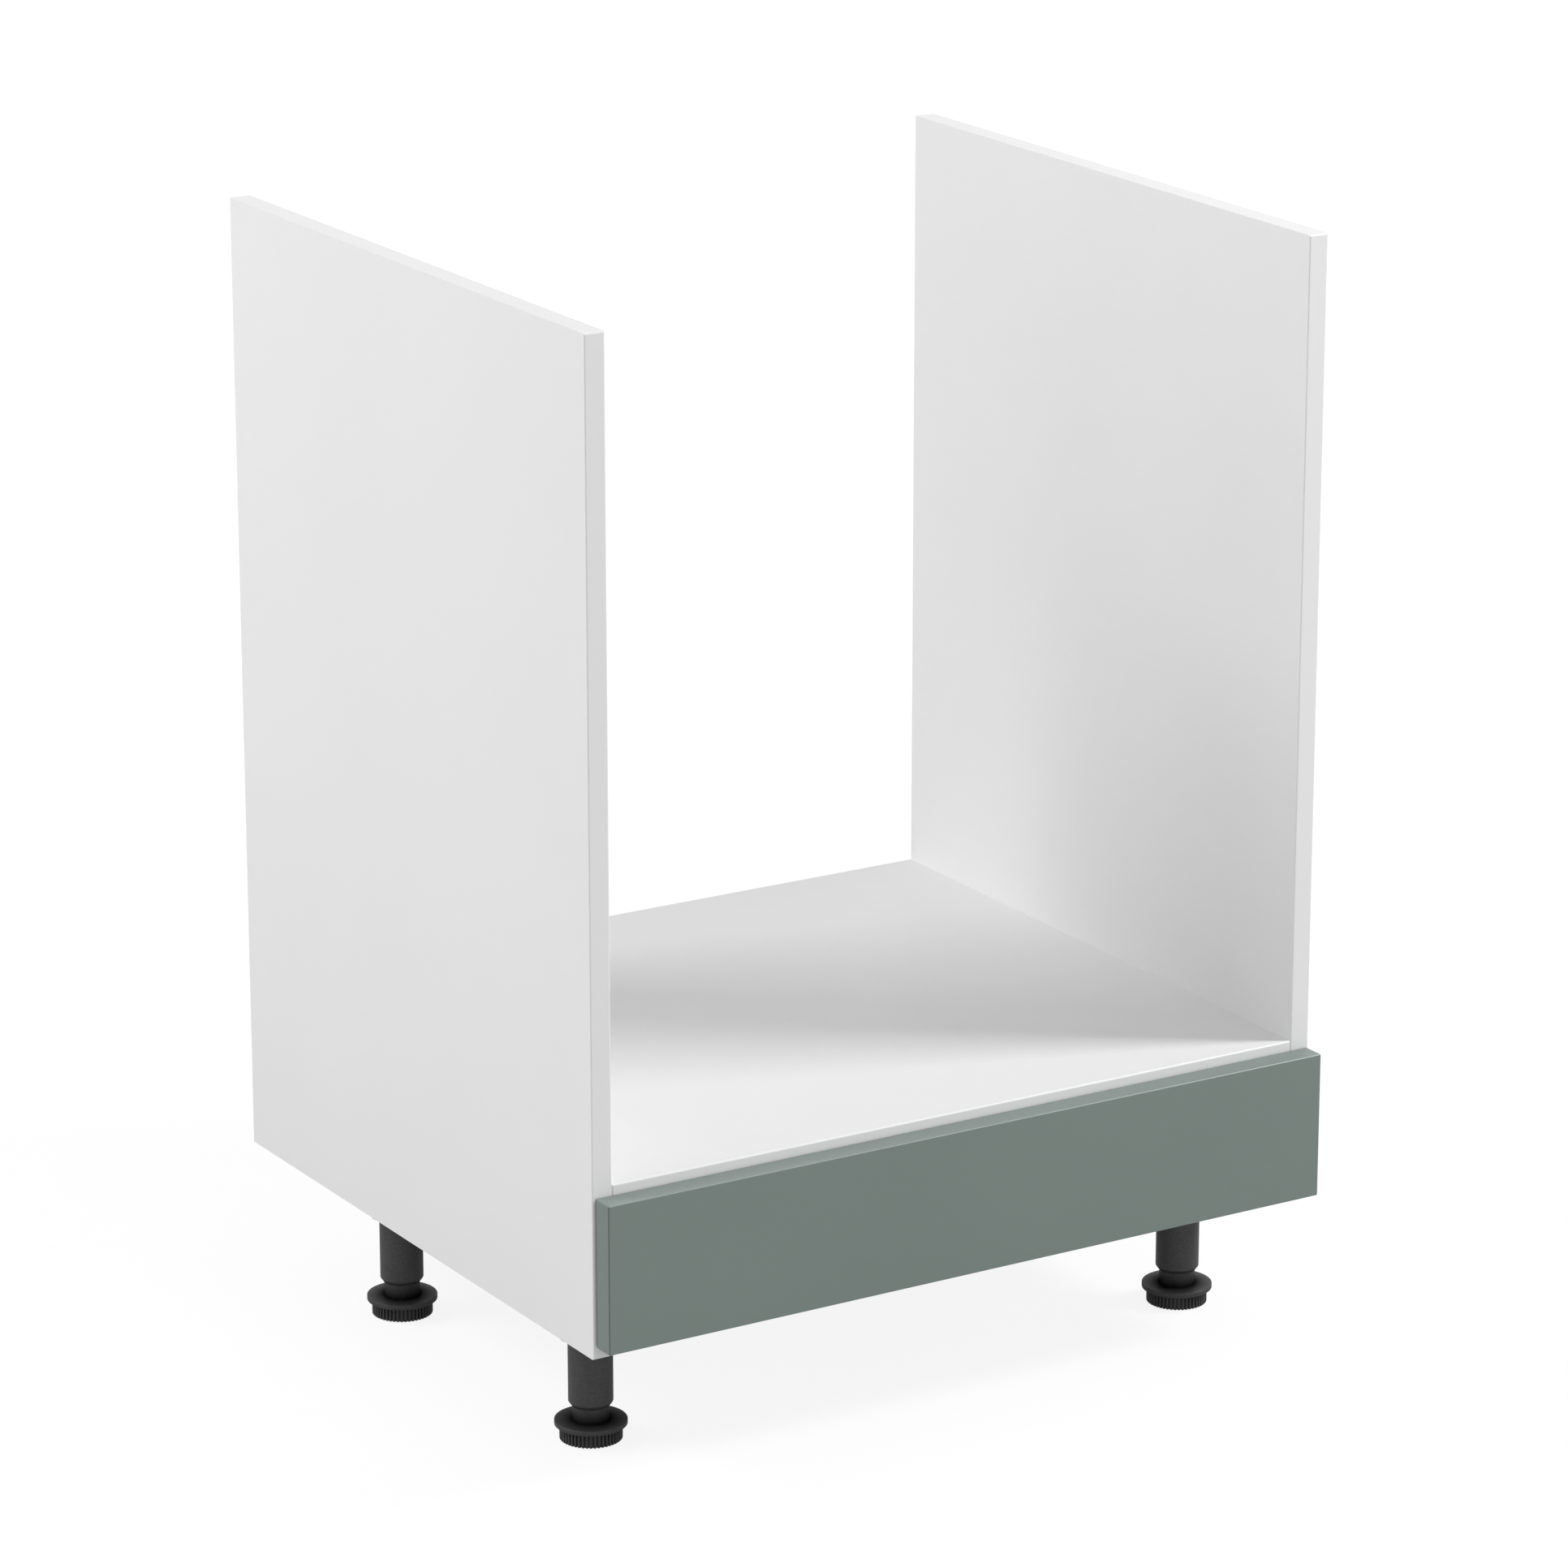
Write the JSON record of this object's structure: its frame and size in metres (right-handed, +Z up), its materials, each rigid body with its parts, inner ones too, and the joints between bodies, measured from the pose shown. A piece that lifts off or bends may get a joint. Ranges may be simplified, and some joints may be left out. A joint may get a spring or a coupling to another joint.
{
  "type": "oven base cabinet",
  "caption": "Oven base cabinet with tall sides, an open niche over a shelf for a built-in oven, a shallow drawer on roller runners below, and screw-adjusted legs.",
  "frame": {"origin": "on the floor, under the middle of the cabinet's outer box with the drawer closed", "axes": "+Z up, the front towards -Y, +X to the right as seen from the front"},
  "size_m": [0.6, 0.529, 0.82],
  "materials": {
    "white_board": "white melamine face, smooth matt with a fine pebble",
    "white_hardboard": "thin hardboard with a white lacquered face",
    "white_edging": "white plastic edge band, rounded and satin",
    "grey_green_lacquer": "grey-green lacquered board, satin",
    "zinc_plated_steel": "bright zinc plating",
    "die_cast_zinc": "raw die casting, dull",
    "beech": "plain turned beech",
    "coated_steel": "off-white powder coat, semi-gloss",
    "nylon": "natural nylon, satin",
    "clear_bumper": "soft translucent dot",
    "black_plastic": "moulded black plastic, fine mottled grain",
    "grey_glide": "soft grey glide pad, matt"
  },
  "bodies": {
    "carcass": {"side_panel_left": "white_board", "side_panel_right": "white_board", "edge_band_side_left": "white_edging", "edge_band_side_right": "white_edging", "oven_shelf": "white_board", "edge_band_shelf": "white_edging", "bottom_panel": "white_board", "edge_band_bottom": "white_edging", "rear_rail": "white_board", "carcass_cam_bolts": "zinc_plated_steel", "carcass_cam_discs": "die_cast_zinc", "carcass_dowels": "beech", "cabinet_runner_left": "coated_steel", "cabinet_runner_right": "coated_steel", "cabinet_runner_screws": "zinc_plated_steel", "front_roller_axles": "zinc_plated_steel", "leg_socket_screws": "zinc_plated_steel", "leg_socket_front_left": "black_plastic", "leg_socket_front_right": "black_plastic", "leg_socket_rear_left": "black_plastic", "leg_socket_rear_right": "black_plastic", "leg_tube_front_left": "black_plastic", "leg_tube_front_right": "black_plastic", "leg_tube_rear_left": "black_plastic", "leg_tube_rear_right": "black_plastic"},
    "drawer": {"drawer_front": "grey_green_lacquer", "drawer_side_left": "white_board", "drawer_side_right": "white_board", "drawer_back": "white_board", "drawer_bottom": "white_hardboard", "drawer_cam_bolts": "zinc_plated_steel", "drawer_cam_discs": "die_cast_zinc", "drawer_dowels": "beech", "drawer_back_screws": "zinc_plated_steel", "drawer_bottom_screws": "zinc_plated_steel", "drawer_bumpers": "clear_bumper", "drawer_runner_left": "coated_steel", "drawer_runner_right": "coated_steel", "drawer_runner_screws": "zinc_plated_steel", "rear_roller_axles": "zinc_plated_steel"},
    "front_roller_left": {"front_roller_left": "nylon"},
    "rear_roller_left": {"rear_roller_left": "nylon"},
    "front_roller_right": {"front_roller_right": "nylon"},
    "rear_roller_right": {"rear_roller_right": "nylon"},
    "glide_front_left": {"glide_pad_front_left": "grey_glide"},
    "foot_front_left": {"foot_front_left": "black_plastic"},
    "glide_front_right": {"glide_pad_front_right": "grey_glide"},
    "foot_front_right": {"foot_front_right": "black_plastic"},
    "glide_rear_left": {"glide_pad_rear_left": "grey_glide"},
    "foot_rear_left": {"foot_rear_left": "black_plastic"},
    "glide_rear_right": {"glide_pad_rear_right": "grey_glide"},
    "foot_rear_right": {"foot_rear_right": "black_plastic"}
  },
  "joints": [
    {"name": "drawer_slide", "type": "slide", "parent": "carcass", "child": "drawer", "axis": [0, -1, 0], "range_m": [0, 0.34]},
    {"name": "front_roller_left_spin", "type": "hinge", "parent": "carcass", "child": "front_roller_left", "pos_m": [-0.279, -0.2305, 0.1344], "axis": [1, 0, 0], "range_deg": [0, 1772]},
    {"name": "rear_roller_left_spin", "type": "hinge", "parent": "drawer", "child": "rear_roller_left", "pos_m": [-0.2778, 0.1935, 0.1325], "axis": [1, 0, 0], "range_deg": [0, 1949.1]},
    {"name": "front_roller_right_spin", "type": "hinge", "parent": "carcass", "child": "front_roller_right", "pos_m": [0.279, -0.2305, 0.1344], "axis": [1, 0, 0], "range_deg": [0, 1772]},
    {"name": "rear_roller_right_spin", "type": "hinge", "parent": "drawer", "child": "rear_roller_right", "pos_m": [0.2778, 0.1935, 0.1325], "axis": [1, 0, 0], "range_deg": [0, 1949.1]},
    {"name": "foot_front_left_height", "type": "slide", "parent": "carcass", "child": "glide_front_left", "axis": [0, 0, -1], "range_m": [-0.00801, 0.02001]},
    {"name": "foot_front_left_turn", "type": "hinge", "parent": "glide_front_left", "child": "foot_front_left", "pos_m": [-0.251, -0.1555, 0], "axis": [0, 0, -1], "range_deg": [-720, 1800]},
    {"name": "foot_front_right_height", "type": "slide", "parent": "carcass", "child": "glide_front_right", "axis": [0, 0, -1], "range_m": [-0.00801, 0.02001]},
    {"name": "foot_front_right_turn", "type": "hinge", "parent": "glide_front_right", "child": "foot_front_right", "pos_m": [0.251, -0.1555, 0], "axis": [0, 0, -1], "range_deg": [-720, 1800]},
    {"name": "foot_rear_left_height", "type": "slide", "parent": "carcass", "child": "glide_rear_left", "axis": [0, 0, -1], "range_m": [-0.00801, 0.02001]},
    {"name": "foot_rear_left_turn", "type": "hinge", "parent": "glide_rear_left", "child": "foot_rear_left", "pos_m": [-0.251, 0.1245, 0], "axis": [0, 0, -1], "range_deg": [-720, 1800]},
    {"name": "foot_rear_right_height", "type": "slide", "parent": "carcass", "child": "glide_rear_right", "axis": [0, 0, -1], "range_m": [-0.00801, 0.02001]},
    {"name": "foot_rear_right_turn", "type": "hinge", "parent": "glide_rear_right", "child": "foot_rear_right", "pos_m": [0.251, 0.1245, 0], "axis": [0, 0, -1], "range_deg": [-720, 1800]}
  ],
  "couplings": [
    {"joint": "front_roller_left_spin", "follows": "drawer_slide", "rad_per_m": 90.909},
    {"joint": "rear_roller_left_spin", "follows": "drawer_slide", "rad_per_m": 100},
    {"joint": "front_roller_right_spin", "follows": "drawer_slide", "rad_per_m": 90.909},
    {"joint": "rear_roller_right_spin", "follows": "drawer_slide", "rad_per_m": 100},
    {"joint": "foot_front_left_height", "follows": "foot_front_left_turn", "m_per_rad": 0.00063662},
    {"joint": "foot_front_right_height", "follows": "foot_front_right_turn", "m_per_rad": 0.00063662},
    {"joint": "foot_rear_left_height", "follows": "foot_rear_left_turn", "m_per_rad": 0.00063662},
    {"joint": "foot_rear_right_height", "follows": "foot_rear_right_turn", "m_per_rad": 0.00063662}
  ]
}
